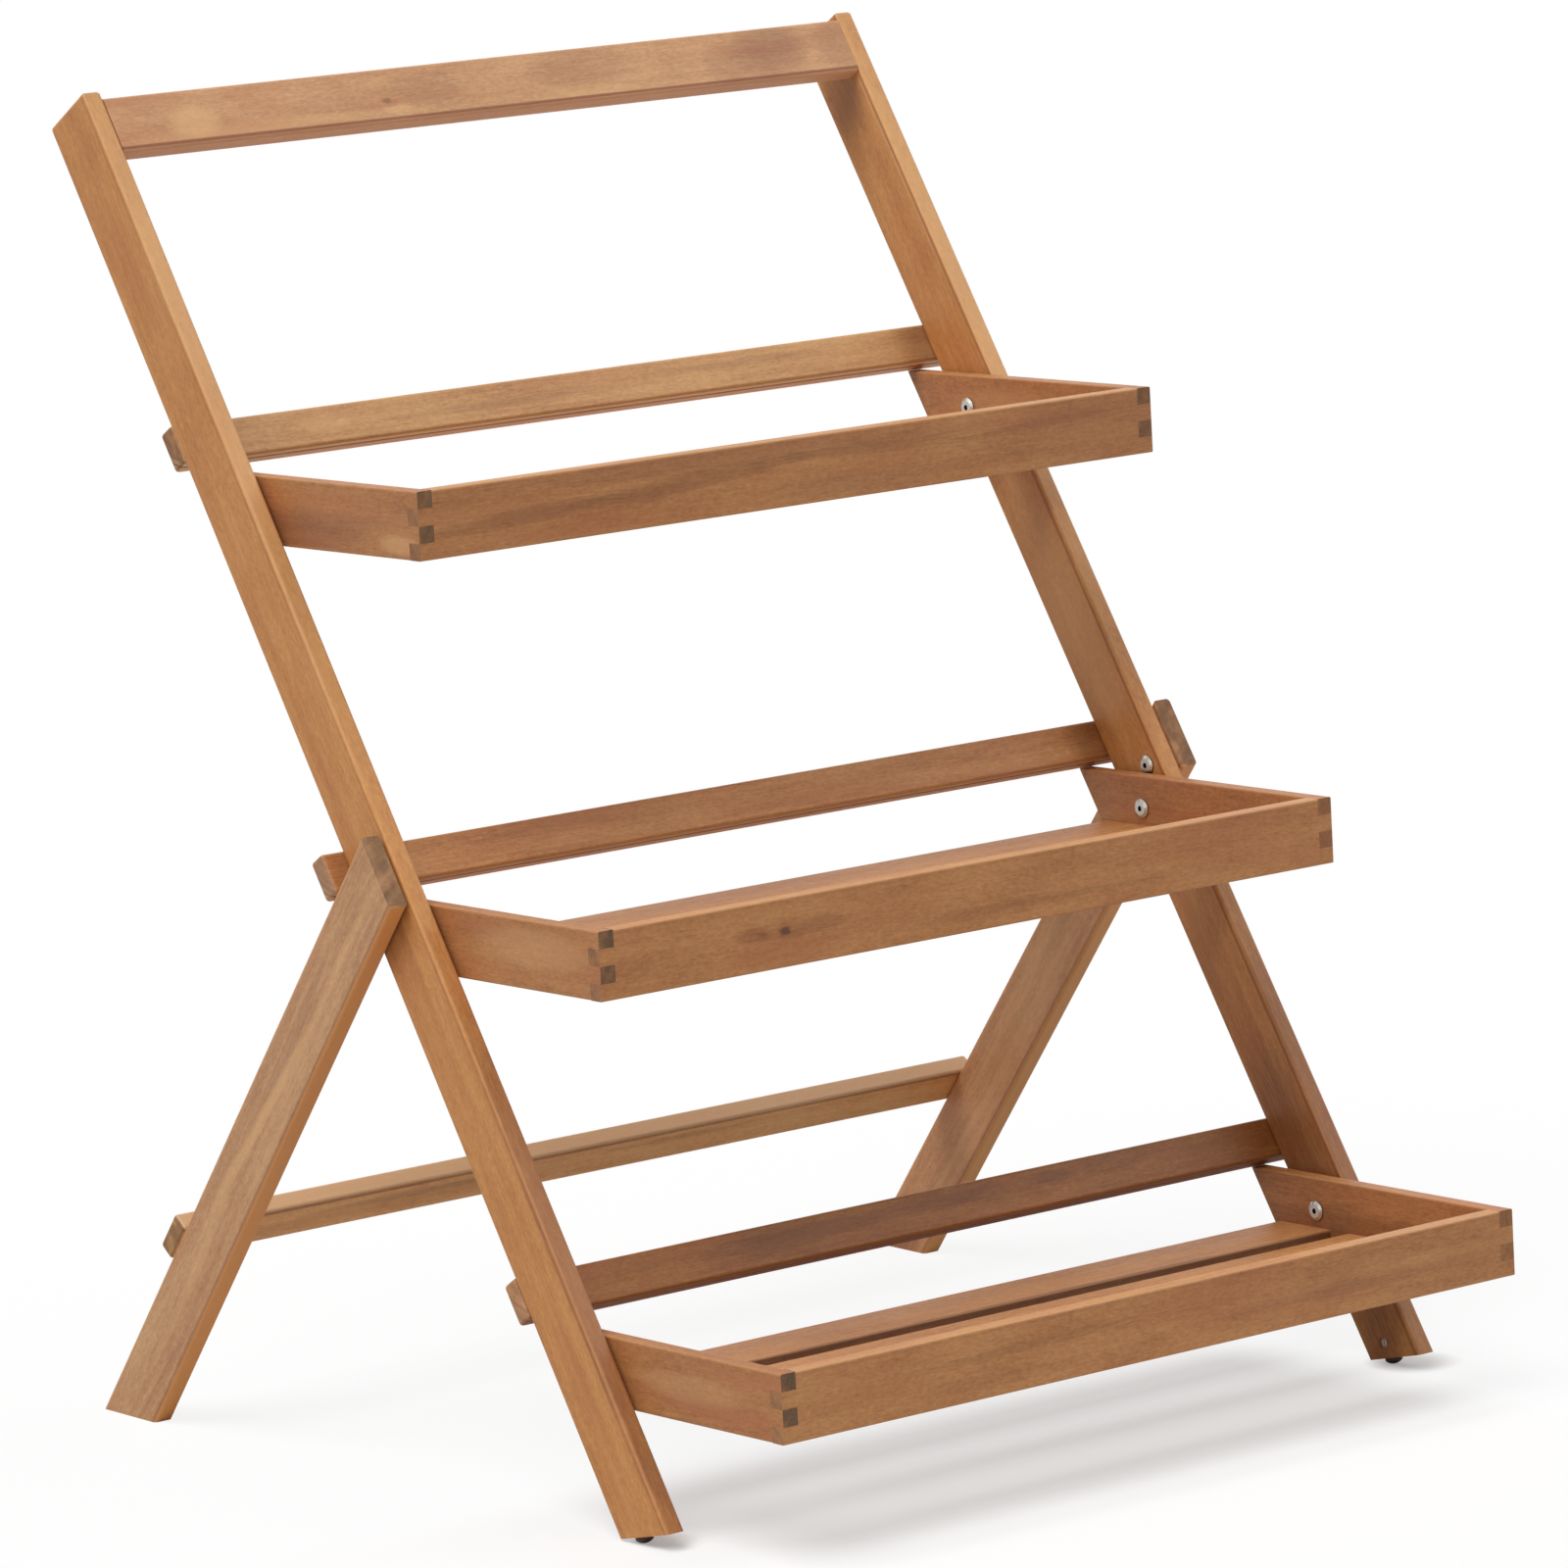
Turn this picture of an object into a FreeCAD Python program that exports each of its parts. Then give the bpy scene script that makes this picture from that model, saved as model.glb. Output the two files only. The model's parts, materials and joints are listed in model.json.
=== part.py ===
import FreeCAD, Part
import os
import re

import Sketcher
from FreeCAD import Placement, Rotation, Vector

# A folding garden shelf: two stiles lean back and carry three trays, and a pair of legs on the
# outside of the stiles props them from behind. Each tray turns on one bolt a side and folds up
# between the stiles; the legs turn on one bolt a side and fold forward beside the stiles.
# +X is to the right as seen from the front, +Y to the back and +Z up, and the floor is at Z = 0.

# Driving sizes in millimetres and degrees
driving = {
    "frame_width": 726,         # over the outer faces of the stiles
    "stile_lean": 32.5,         # from upright, top to the back
    "stile_width": 54,          # front edge to rear edge
    "stile_length": 1148,       # along the rear edge, from the floor to the top end
    "board_thick": 16,          # stiles and legs
    "edge_round": 3,            # eased edges of stiles, legs and rails
    "rail_thick": 16,           # back rails, top rail and crossbar
    "rail_height": 32,          # back rails, along the stile
    "top_rail_height": 46,      # along the stile
    "top_rail_drop": 6,         # stile top to the top rail's upper edge
    "top_rail_inset": 0.5,      # stile front edge to the top rail's front face
    "stop_clearance": 0.3,      # a back rail to the tray or leg that it stops
    "tray_first": 115,          # floor to the lowest tray bolt, along the stile
    "tray_pitch": 346,          # from one tray bolt to the next, along the stile
    "middle_drop": 4.5,         # middle tray bolt below the even pitch, along the stile
    "tray_bolt_inset": 22,      # stile front edge to the tray bolts
    "tray_tip": 0.8,            # trays from level, fronts up
    "tray_reach": 202,          # tray bolt to the tray's front face, along the tray
    "tray_height": 50,          # front and side boards
    "tray_thick": 13,           # front and side boards
    "tray_round": 1.2,          # eased edges of tray boards and slats
    "tray_gap": 4,              # tray side to stile
    "finger_count": 4,          # fingers in the height of a tray corner
    "slat_count": 3,            # slats in a tray
    "slat_thick": 10,           # slats
    "slat_lift": 2,             # lower edges of the tray boards to the slats' undersides
    "slat_gap": 20,             # between slats, and between the first slat and the front board
    "leg_lean": 38.3,           # from upright, foot to the back
    "leg_gap": 2.5,             # stile to leg
    "pivot_inset": 16,          # front edge to the leg bolt, on stile and leg alike
    "leg_top_inset": 1.5,       # stile front edge to the leg's top end
    "crossbar_height": 34,      # along the leg
    "crossbar_rise": 165.5,     # floor to the crossbar's lower edge, along the leg's rear edge
    "foot_lift": 1,             # floor to the lowest corner of the stile
    "foot_slope": 12.7,         # stile's lower end to the floor
    "foot_setback": 19.2,       # rear corner of the stile's lower end to the foot's middle
    "foot_diameter": 13,        # foot pad
    "foot_dome": 9,             # radius of the foot pad's rounded underside
    "foot_nut_height": 12,      # stile's lower end to the middle of the foot's barrel nut
    "barrel_diameter": 8,       # barrel nut
    "barrel_length": 13,        # barrel nut
    "barrel_slot": 1.2,         # width and depth of the screwdriver slot in the barrel nut
    "bolt_diameter": 6,         # pivot bolts and foot studs
    "bolt_clearance": 0.1,      # around a bolt in the piece that turns on it
    "bolt_play": 0.2,           # under a bolt head and beside a spacer
    "head_diameter": 15,        # pivot bolt head
    "head_thick": 2.2,          # pivot bolt head
    "head_rim": 0.8,            # straight rim under the head's bevel
    "head_bevel": 2.2,          # bevel of the head, measured inward
    "socket_width": 4,          # hexagon socket, across its flats
    "socket_depth": 1.6,        # hexagon socket
    "insert_diameter": 10,      # threaded insert that takes a pivot bolt
    "insert_length": 13,        # threaded insert
    "thread_grip": 12,          # length of bolt inside its insert
    "tray_spacer_diameter": 14, # spacer between tray and stile
    "leg_spacer_diameter": 18,  # spacer between stile and leg
    "screw_diameter": 4,        # countersunk wood screw
    "screw_head": 8,            # countersunk wood screw
    "screw_length": 40,         # countersunk wood screw
    "screw_tip": 6,             # tapered point of a wood screw
    "screw_inset": 8,           # upper or lower edge of a rail to the nearer screw
    "cross_length": 4.4,        # arm to arm of the cross recess
    "cross_width": 1.1,         # one arm of the cross recess
    "cross_depth": 1.2,         # cross recess
    "rail_dowel_diameter": 8,   # dowels of the top rail
    "rail_dowel_length": 30,    # dowels of the top rail
    "rail_dowel_in": 10,        # depth of a top rail dowel in the stile
    "rail_dowel_pitch": 24,     # between the two dowels at one end of the top rail
    "slat_dowel_diameter": 5,   # dowels of the slats
    "slat_dowel_length": 24,    # dowels of the slats
    "slat_dowel_in": 8,         # depth of a slat dowel in the tray side
}

# Sizes that follow from the driving ones
derived = {
    "stile_inner": "frame_width / 2 - board_thick",
    "tray_outer": "stile_inner - tray_gap",
    "tray_inner": "tray_outer - tray_thick",
    "leg_inner": "frame_width / 2 + leg_gap",
    "leg_outer": "leg_inner + board_thick",
    "leg_rear": "stile_width - pivot_inset",
    "rail_back": "stile_width + rail_thick",
    "opening_angle": "stile_lean + leg_lean",
    # the stile's frame: its front edge is at 0 and its rear edge meets the floor at 0 along the stile
    "frame_lift": "stile_width * sin(stile_lean)",
    # a tray's side ends in line with the rails' rear faces, and the rail's eased lower rear edge stops it
    "tail_lean": "stile_lean - tray_tip",
    "tail_run": "rail_back - tray_bolt_inset",
    "tail_top": "(tail_run + tray_height / 2 * sin(tail_lean)) / cos(tail_lean)",
    "tail_bottom": "(tail_run - tray_height / 2 * sin(tail_lean)) / cos(tail_lean)",
    "round_loss": "edge_round * (cos(tail_lean) + sin(tail_lean) - 1)",
    "stop_height": "tray_height / 2 + tail_run * sin(tail_lean) - round_loss + stop_clearance",
    "rail_rise": "stop_height / cos(tail_lean)",
    "middle_rail": "tray_first + tray_pitch - middle_drop + rail_rise",
    # the middle rail's eased lower front edge stops the leg's rear edge
    "leg_swing": "(leg_rear + edge_round) * (1 - cos(opening_angle)) + stop_clearance",
    "leg_pivot": "middle_rail + edge_round - leg_swing / sin(opening_angle)",
    "pivot_back": "leg_pivot * sin(stile_lean) + pivot_inset * cos(stile_lean)",
    "pivot_height": "frame_lift + leg_pivot * cos(stile_lean) - pivot_inset * sin(stile_lean)",
    "leg_heel": "(pivot_height + leg_rear * sin(leg_lean)) / cos(leg_lean)",
    "leg_toe": "(pivot_height - pivot_inset * sin(leg_lean)) / cos(leg_lean)",
    "leg_top_run": "pivot_inset - leg_top_inset",
    "leg_top_rear": "(leg_top_run + leg_rear * cos(opening_angle)) / sin(opening_angle)",
    "leg_top_front": "(leg_top_run - pivot_inset * cos(opening_angle)) / sin(opening_angle)",
    "crossbar_low": "crossbar_rise - leg_heel",
    "crossbar_back": "leg_rear + rail_thick",
    # the middle of the whole depth is at Y = 0, between the lowest tray's tipped front and the back
    "corner_loss": "tray_round * (cos(tray_tip) + sin(tray_tip) - 1)",
    "front_run": "tray_reach * cos(tray_tip) + tray_height / 2 * sin(tray_tip) - corner_loss",
    "front_face": "tray_first * sin(stile_lean) + tray_bolt_inset * cos(stile_lean) - front_run",
    "heel_back": "pivot_back + leg_rear * cos(leg_lean) + leg_heel * sin(leg_lean)",
    "stile_back": "stile_length * sin(stile_lean) + stile_width * cos(stile_lean)",
    "frame_shift": "0 - (front_face + max(heel_back; stile_back)) / 2",
    # the stile's lower end and the foot in it
    "end_angle": "stile_lean - foot_slope",
    "end_rear": "foot_lift / cos(stile_lean)",
    "end_front": "end_rear - stile_width * tan(end_angle)",
    "foot_inset": "stile_width - foot_setback * cos(end_angle)",
    "foot_along": "end_rear - foot_setback * sin(end_angle)",
    "foot_height": "foot_lift + foot_setback * sin(foot_slope)",
    "dome_middle": "(foot_height - foot_dome) / cos(foot_slope)",
    "foot_side": "dome_middle + sqrt(foot_dome * foot_dome - foot_diameter * foot_diameter / 4)",
    "foot_tip": "dome_middle + foot_dome",
    "nut_inset": "foot_inset - foot_nut_height * sin(end_angle)",
    "nut_along": "foot_along + foot_nut_height * cos(end_angle)",
    "stud_length": "foot_nut_height + barrel_diameter / 2",
    # fastener lengths and holes
    "turning_bore": "bolt_diameter + 2 * bolt_clearance",
    "tray_bolt_length": "bolt_play + tray_thick + tray_gap + thread_grip",
    "leg_bolt_length": "bolt_play + board_thick + leg_gap + thread_grip",
    "pilot_depth": "screw_length - rail_thick",
    "countersink": "(screw_head - screw_diameter) / 2",
    "top_rail_low": "stile_length - top_rail_drop - top_rail_height",
    "top_rail_middle": "top_rail_low + top_rail_height / 2",
    "top_rail_axis": "top_rail_inset + rail_thick / 2",
    # the last slat's underside ends where the tray's sides end
    "slat_low": "slat_lift - tray_height / 2",
    "floor_back": "(tail_run + slat_low * sin(tail_lean)) / cos(tail_lean)",
    "slat_room": "tray_reach - tray_thick + floor_back",
    "slat_width": "slat_room / slat_count - slat_gap",
    "slat_pitch": "slat_width + slat_gap",
    "slat_middle_height": "slat_low + slat_thick / 2",
    "finger_height": "tray_height / finger_count",
}

tray_names = ["bottom", "middle", "top"]
whole_turn = 360
hexagon_sides = 6
near_zero = 1e-6

doc = FreeCAD.newDocument("garden_shelf")
sheet = doc.addObject("Spreadsheet::Sheet", "Sizes")
for row, (alias, size) in enumerate(driving.items(), start=1):
    sheet.set(f"A{row}", alias)
    sheet.set(f"B{row}", str(size))
    sheet.setAlias(f"B{row}", alias)
doc.recompute()


def formula(text):
    # Write sizes as cells of the sheet, and derived sizes out in full
    def written_out(match):
        word = match.group(0)
        if word in driving:
            return "Sizes." + word
        if word in derived:
            return "(" + formula(derived[word]) + ")"
        return word
    return re.sub(r"[a-z_]+", written_out, text)


def number(text):
    return float(sheet.evalExpression(formula(text)))


def bind(item, prop, text):
    item.setExpression(prop, formula(text))


# Sketches
def new_sketch(body, name, role, offset="0"):
    sketch = body.newObject("Sketcher::SketchObject", name)
    plane = next(item for item in body.Origin.OriginFeatures if item.Role == role)
    sketch.AttachmentSupport = (plane, [""])
    sketch.MapMode = "FlatFace"
    if offset != "0":
        bind(sketch, "AttachmentOffset.Base.z", offset)
    return sketch


def fix_point(sketch, piece, end, across, along):
    # Hold one point of the sketch at a place that the sheet gives
    for kind, axis, text in (("DistanceX", -2, across), ("DistanceY", -1, along)):
        if text == "0":
            sketch.addConstraint(Sketcher.Constraint("PointOnObject", piece, end, axis))
            continue
        index = sketch.addConstraint(Sketcher.Constraint(kind, -1, 1, piece, end, number(text)))
        bind(sketch, f"Constraints[{index}]", text)


def outline(sketch, corners):
    points = [Vector(number(across), number(along), 0) for across, along in corners]
    first = sketch.GeometryCount
    count = len(points)
    for index, point in enumerate(points):
        sketch.addGeometry(Part.LineSegment(point, points[(index + 1) % count]), False)
    for index, (across, along) in enumerate(corners):
        following = first + (index + 1) % count
        sketch.addConstraint(Sketcher.Constraint("Coincident", first + index, 2, following, 1))
        fix_point(sketch, first + index, 1, across, along)


def rectangle(sketch, left, right, low, high):
    outline(sketch, [(left, low), (right, low), (right, high), (left, high)])


def circle(sketch, across, along, diameter):
    middle = Vector(number(across), number(along), 0)
    index = sketch.addGeometry(Part.Circle(middle, Vector(0, 0, 1), number(diameter) / 2), False)
    fix_point(sketch, index, 3, across, along)
    size = sketch.addConstraint(Sketcher.Constraint("Diameter", index, number(diameter)))
    bind(sketch, f"Constraints[{size}]", diameter)


# Features
def new_body(name):
    body = doc.addObject("PartDesign::Body", name)
    body.Label = name
    return body


def pad(body, sketch, length):
    feature = body.newObject("PartDesign::Pad", sketch.Name + "_pad")
    feature.Profile = sketch
    bind(feature, "Length", length)
    doc.recompute()
    return feature


def cut(body, sketch, depth="", reverse=False):
    # Pocket the sketch to a depth, or right through where no depth is given
    volume = body.Shape.Volume
    feature = body.newObject("PartDesign::Pocket", sketch.Name + "_cut")
    feature.Profile = sketch
    feature.Reversed = reverse
    if depth:
        bind(feature, "Length", depth)
    else:
        feature.Type = "ThroughAll"
    doc.recompute()
    if body.Shape.Volume >= volume:
        raise RuntimeError(feature.Name + " cuts nothing")


def revolve(body, sketch):
    feature = body.newObject("PartDesign::Revolution", sketch.Name + "_turn")
    feature.Profile = sketch
    feature.ReferenceAxis = (sketch, ["V_Axis"])
    feature.Angle = whole_turn
    doc.recompute()


def ease(body, base, radius, direction=None, least="0", end=None):
    # Round every straight edge of the base, or only those that run one way and are long enough;
    # the edges of the end at a given local Z can be rounded with them
    names = []
    for index, edge in enumerate(base.Shape.Edges, start=1):
        start, stop = edge.Vertexes[0].Point, edge.Vertexes[-1].Point
        along = stop - start
        runs_that_way = direction is None or along.cross(direction).Length < near_zero * along.Length
        at_end = end is not None and min(start.z, stop.z) > number(end) - near_zero
        if at_end or (runs_that_way and along.Length > number(least)):
            names.append(f"Edge{index}")
    feature = body.newObject("PartDesign::Fillet", base.Name + "_ease")
    feature.Base = (base, names)
    bind(feature, "Radius", radius)
    doc.recompute()


def countersink_holes(body, face_across):
    # Chamfer the screw holes where they meet the face at that local Y
    base = body.Tip
    names = []
    for index, edge in enumerate(base.Shape.Edges, start=1):
        if edge.Degenerated or not edge.isClosed():
            continue
        if abs(edge.CenterOfMass.y - number(face_across)) < near_zero:
            names.append(f"Edge{index}")
    feature = body.newObject("PartDesign::Chamfer", base.Name + "_sink")
    feature.Base = (base, names)
    bind(feature, "Size", "countersink")
    doc.recompute()


# Places
def stand_on_frame(body, across):
    # Put a piece drawn in the stile's frame where the leaning stiles are
    body.Placement = Placement(Vector(), Rotation(Vector(-1, 0, 0), number("stile_lean")))
    bind(body, "Placement.Base.x", across)
    bind(body, "Placement.Base.y", "frame_shift")
    bind(body, "Placement.Base.z", "frame_lift")
    bind(body, "Placement.Rotation.Angle", "stile_lean")


def stand_on_leg(body, across):
    # Put a piece drawn from the leg bolt where the legs are
    body.Placement = Placement(Vector(), Rotation(Vector(1, 0, 0), number("leg_lean")))
    bind(body, "Placement.Base.x", across)
    bind(body, "Placement.Base.y", "frame_shift + pivot_back")
    bind(body, "Placement.Base.z", "pivot_height")
    bind(body, "Placement.Rotation.Angle", "leg_lean")


def bolt_along(level):
    drop = "middle_drop" if tray_names[level] == "middle" else "0"
    return f"(tray_first + {level} * tray_pitch - {drop})"


def bolt_depth(level):
    return f"(frame_shift + {bolt_along(level)} * sin(stile_lean) + tray_bolt_inset * cos(stile_lean))"


def bolt_height(level):
    return f"(frame_lift + {bolt_along(level)} * cos(stile_lean) - tray_bolt_inset * sin(stile_lean))"


def stand_on_tray(body, level, across, back, up):
    # Put a piece drawn from its own corner at a place measured from the bolts, along the tipped tray
    body.Placement = Placement(Vector(), Rotation(Vector(-1, 0, 0), number("tray_tip")))
    bind(body, "Placement.Base.x", across)
    bind(body, "Placement.Base.y", f"{bolt_depth(level)} + {back} * cos(tray_tip) + {up} * sin(tray_tip)")
    bind(body, "Placement.Base.z", f"{bolt_height(level)} - {back} * sin(tray_tip) + {up} * cos(tray_tip)")
    bind(body, "Placement.Rotation.Angle", "tray_tip")


def frame_place():
    shift = Vector(0, number("frame_shift"), number("frame_lift"))
    return Placement(shift, Rotation(Vector(-1, 0, 0), number("stile_lean")))


def leg_place():
    shift = Vector(0, number("frame_shift + pivot_back"), number("pivot_height"))
    return Placement(shift, Rotation(Vector(1, 0, 0), number("leg_lean")))


def tray_place(level):
    shift = Vector(0, number(bolt_depth(level)), number(bolt_height(level)))
    return Placement(shift, Rotation(Vector(-1, 0, 0), number("tray_tip")))


def facing(x, y, z):
    # Turn a piece so that its own upper end looks that way
    return Rotation(Vector(0, 0, 1), Vector(x, y, z))


def mirror(source, name):
    item = doc.addObject("Part::Mirroring", name)
    item.Label = name
    item.Source = source
    item.Normal = Vector(1, 0, 0)
    return item


def group(name, master, places):
    # Separate copies of one fastener, kept together under one name
    item = doc.addObject("Part::Feature", name)
    item.Label = name
    copies = []
    for place in places:
        copy = master.Shape.copy()
        copy.Placement = place.multiply(copy.Placement)
        copies.append(copy)
    item.Shape = Part.makeCompound(copies)
    return item


# The leaning frame
def make_stile():
    body = new_body("stile_right")
    side = new_sketch(body, "stile_side", "YZ_Plane")
    outline(side, [("0", "end_front"), ("stile_width", "end_rear"),
                   ("stile_width", "stile_length"), ("0", "stile_length")])
    ease(body, pad(body, side, "board_thick"), "edge_round", Vector(0, 0, 1), end="stile_length")
    inserts = new_sketch(body, "stile_inserts", "YZ_Plane")
    for level in range(len(tray_names)):
        circle(inserts, "tray_bolt_inset", bolt_along(level), "insert_diameter")
    cut(body, inserts, "insert_length", reverse=True)
    pivot = new_sketch(body, "stile_pivot", "YZ_Plane")
    circle(pivot, "pivot_inset", "leg_pivot", "turning_bore")
    cut(body, pivot, reverse=True)
    dowels = new_sketch(body, "stile_dowels", "YZ_Plane")
    for step in ("- rail_dowel_pitch / 2", "+ rail_dowel_pitch / 2"):
        circle(dowels, "top_rail_axis", "top_rail_middle " + step, "rail_dowel_diameter")
    cut(body, dowels, "rail_dowel_in", reverse=True)
    pilots = new_sketch(body, "stile_pilots", "XZ_Plane", "0 - stile_width")
    for level in range(len(tray_names)):
        for along in screw_heights(f"{bolt_along(level)} + rail_rise", "rail_height"):
            circle(pilots, "board_thick / 2", along, "screw_diameter")
    cut(body, pilots, "pilot_depth", reverse=True)
    barrel = new_sketch(body, "stile_barrel", "YZ_Plane")
    circle(barrel, "nut_inset", "nut_along", "barrel_diameter")
    cut(body, barrel, "board_thick / 2 + barrel_length / 2", reverse=True)
    stud = new_sketch(body, "stile_stud", "XY_Plane")
    stud.AttachmentOffset = Placement(Vector(), Rotation(Vector(1, 0, 0), number("end_angle")))
    bind(stud, "AttachmentOffset.Base.x", "board_thick / 2")
    bind(stud, "AttachmentOffset.Base.y", "foot_inset")
    bind(stud, "AttachmentOffset.Base.z", "foot_along")
    bind(stud, "AttachmentOffset.Rotation.Angle", "end_angle")
    circle(stud, "0", "0", "bolt_diameter")
    cut(body, stud, "stud_length", reverse=True)
    stand_on_frame(body, "stile_inner")
    return [body, mirror(body, "stile_left")]


def screw_heights(low, height):
    return [f"{low} + screw_inset", f"{low} + {height} - screw_inset"]


def make_top_rail():
    body = new_body("top_rail")
    section = new_sketch(body, "top_rail_section", "YZ_Plane")
    rectangle(section, "top_rail_inset", "top_rail_inset + rail_thick",
              "top_rail_low", "top_rail_low + top_rail_height")
    ease(body, pad(body, section, "2 * stile_inner"), "edge_round", Vector(1, 0, 0))
    for end, offset, reverse in (("near", "0", True), ("far", "2 * stile_inner", False)):
        holes = new_sketch(body, "top_rail_dowels_" + end, "YZ_Plane", offset)
        for step in ("- rail_dowel_pitch / 2", "+ rail_dowel_pitch / 2"):
            circle(holes, "top_rail_axis", "top_rail_middle " + step, "rail_dowel_diameter")
        cut(body, holes, "rail_dowel_length - rail_dowel_in", reverse=reverse)
    stand_on_frame(body, "0 - stile_inner")
    return body


def make_rail(name, length, front, low, height, screw_from_end):
    # A bar with all its edges eased and two countersunk screws at each end, driven from behind
    body = new_body(name)
    back = f"{front} + rail_thick"
    section = new_sketch(body, name + "_section", "YZ_Plane")
    rectangle(section, front, back, low, f"{low} + {height}")
    ease(body, pad(body, section, length), "edge_round")
    holes = new_sketch(body, name + "_holes", "XZ_Plane", f"0 - ({back})")
    for across in (screw_from_end, f"{length} - ({screw_from_end})"):
        for along in screw_heights(low, height):
            circle(holes, across, along, "screw_diameter")
    cut(body, holes, "rail_thick", reverse=True)
    countersink_holes(body, back)
    return body


def make_back_rail(level):
    name = "back_rail_" + tray_names[level]
    low = f"({bolt_along(level)} + rail_rise)"
    half = "leg_outer" if tray_names[level] == "middle" else "frame_width / 2"
    screw_from_end = f"{half} - frame_width / 2 + board_thick / 2"
    body = make_rail(name, f"2 * ({half})", "stile_width", low, "rail_height", screw_from_end)
    stand_on_frame(body, f"0 - {half}")
    return body


# The propping legs
def make_leg():
    body = new_body("leg_right")
    side = new_sketch(body, "leg_side", "YZ_Plane")
    outline(side, [("0 - pivot_inset", "0 - leg_toe"), ("leg_rear", "0 - leg_heel"),
                   ("leg_rear", "leg_top_rear"), ("0 - pivot_inset", "leg_top_front")])
    ease(body, pad(body, side, "board_thick"), "edge_round", Vector(0, 0, 1))
    insert = new_sketch(body, "leg_insert", "YZ_Plane")
    circle(insert, "0", "0", "insert_diameter")
    cut(body, insert, "insert_length", reverse=True)
    pilots = new_sketch(body, "leg_pilots", "XZ_Plane", "0 - leg_rear")
    for along in screw_heights("crossbar_low", "crossbar_height"):
        circle(pilots, "board_thick / 2", along, "screw_diameter")
    cut(body, pilots, "pilot_depth", reverse=True)
    stand_on_leg(body, "leg_inner")
    return [body, mirror(body, "leg_left")]


def make_crossbar():
    body = make_rail("leg_crossbar", "2 * leg_outer", "leg_rear", "crossbar_low", "crossbar_height",
                     "board_thick / 2")
    stand_on_leg(body, "0 - leg_outer")
    return body


# The trays
def slat_front(index):
    # Bolt to the front edge of a slat, counted from the back
    return f"(floor_back - slat_width - {index} * slat_pitch)"


def finger_steps(deep, shallow, first_is_deep):
    # The stepped end of a board in a finger joint, from its top corner to its bottom corner
    steps = []
    for index in range(int(number("finger_count"))):
        reach = deep if (index % 2 == 0) == first_is_deep else shallow
        steps.append((reach, f"tray_height / 2 - {index} * finger_height"))
        steps.append((reach, f"tray_height / 2 - {index + 1} * finger_height"))
    return steps


def make_tray_side(level):
    name = f"tray_{tray_names[level]}_side_right"
    body = new_body(name)
    side = new_sketch(body, name + "_shape", "YZ_Plane")
    front_end = finger_steps("0 - tray_reach", "tray_thick - tray_reach", True)
    outline(side, front_end + [("tail_bottom", "0 - tray_height / 2"), ("tail_top", "tray_height / 2")])
    shape = pad(body, side, "tray_thick")
    ease(body, shape, "tray_round", Vector(0, 1, 0), "tray_reach")
    bore = new_sketch(body, name + "_bore", "YZ_Plane")
    circle(bore, "0", "0", "turning_bore")
    cut(body, bore, reverse=True)
    dowels = new_sketch(body, name + "_dowels", "YZ_Plane")
    for index in range(int(number("slat_count"))):
        circle(dowels, f"{slat_front(index)} + slat_width / 2", "slat_middle_height", "slat_dowel_diameter")
    cut(body, dowels, "slat_dowel_in", reverse=True)
    stand_on_tray(body, level, "tray_inner", "0", "0")
    return [body, mirror(body, f"tray_{tray_names[level]}_side_left")]


def make_tray_front(level):
    name = f"tray_{tray_names[level]}_front"
    body = new_body(name)
    face = new_sketch(body, name + "_shape", "XZ_Plane")
    right_end = finger_steps("tray_outer", "tray_inner", False)
    left_end = [("0 - " + across, along) for across, along in reversed(right_end)]
    outline(face, right_end + left_end)
    shape = pad(body, face, "tray_thick")
    ease(body, shape, "tray_round", Vector(1, 0, 0), "tray_inner")
    stand_on_tray(body, level, "0", "(tray_thick - tray_reach)", "0")
    return body


def make_slat(level, index):
    name = f"tray_{tray_names[level]}_slat_{index + 1}"
    body = new_body(name)
    plan = new_sketch(body, name + "_plan", "XY_Plane")
    rectangle(plan, "0 - tray_inner", "tray_inner", "0", "slat_width")
    ease(body, pad(body, plan, "slat_thick"), "tray_round", Vector(1, 0, 0))
    for end, offset, reverse in (("left", "0 - tray_inner", True), ("right", "tray_inner", False)):
        hole = new_sketch(body, f"{name}_{end}_dowel", "YZ_Plane", offset)
        circle(hole, "slat_width / 2", "slat_thick / 2", "slat_dowel_diameter")
        cut(body, hole, "slat_dowel_length - slat_dowel_in", reverse=reverse)
    stand_on_tray(body, level, "0", slat_front(index), "slat_low")
    return body


# Fasteners, each drawn once about its own upright axis
def turned(name, corners):
    body = new_body(name)
    profile = new_sketch(body, name + "_profile", "XZ_Plane")
    outline(profile, corners)
    revolve(body, profile)
    return body


def ring(name, diameter, bore, height):
    # A plain ring that stands on its own base
    inner = f"({bore}) / 2"
    outer = f"({diameter}) / 2"
    return turned(name, [(inner, "0"), (outer, "0"), (outer, height), (inner, height)])


def make_bolt(name, length):
    # Flat bevelled head on top of a plain shank, with a hexagon socket
    shank = "bolt_diameter / 2"
    rim = "head_diameter / 2"
    body = turned(name, [("0", f"0 - {length}"), (shank, f"0 - {length}"), (shank, "0"), (rim, "0"),
                         (rim, "head_rim"), (f"{rim} - head_bevel", "head_thick"), ("0", "head_thick")])
    socket = new_sketch(body, name + "_socket", "XY_Plane", "head_thick")
    corner = "socket_width / sqrt(3)"
    step = whole_turn / hexagon_sides
    angles = [step / 2 + step * side for side in range(hexagon_sides)]
    outline(socket, [(f"{corner} * cos({angle})", f"{corner} * sin({angle})") for angle in angles])
    cut(body, socket, "socket_depth")
    return body


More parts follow.
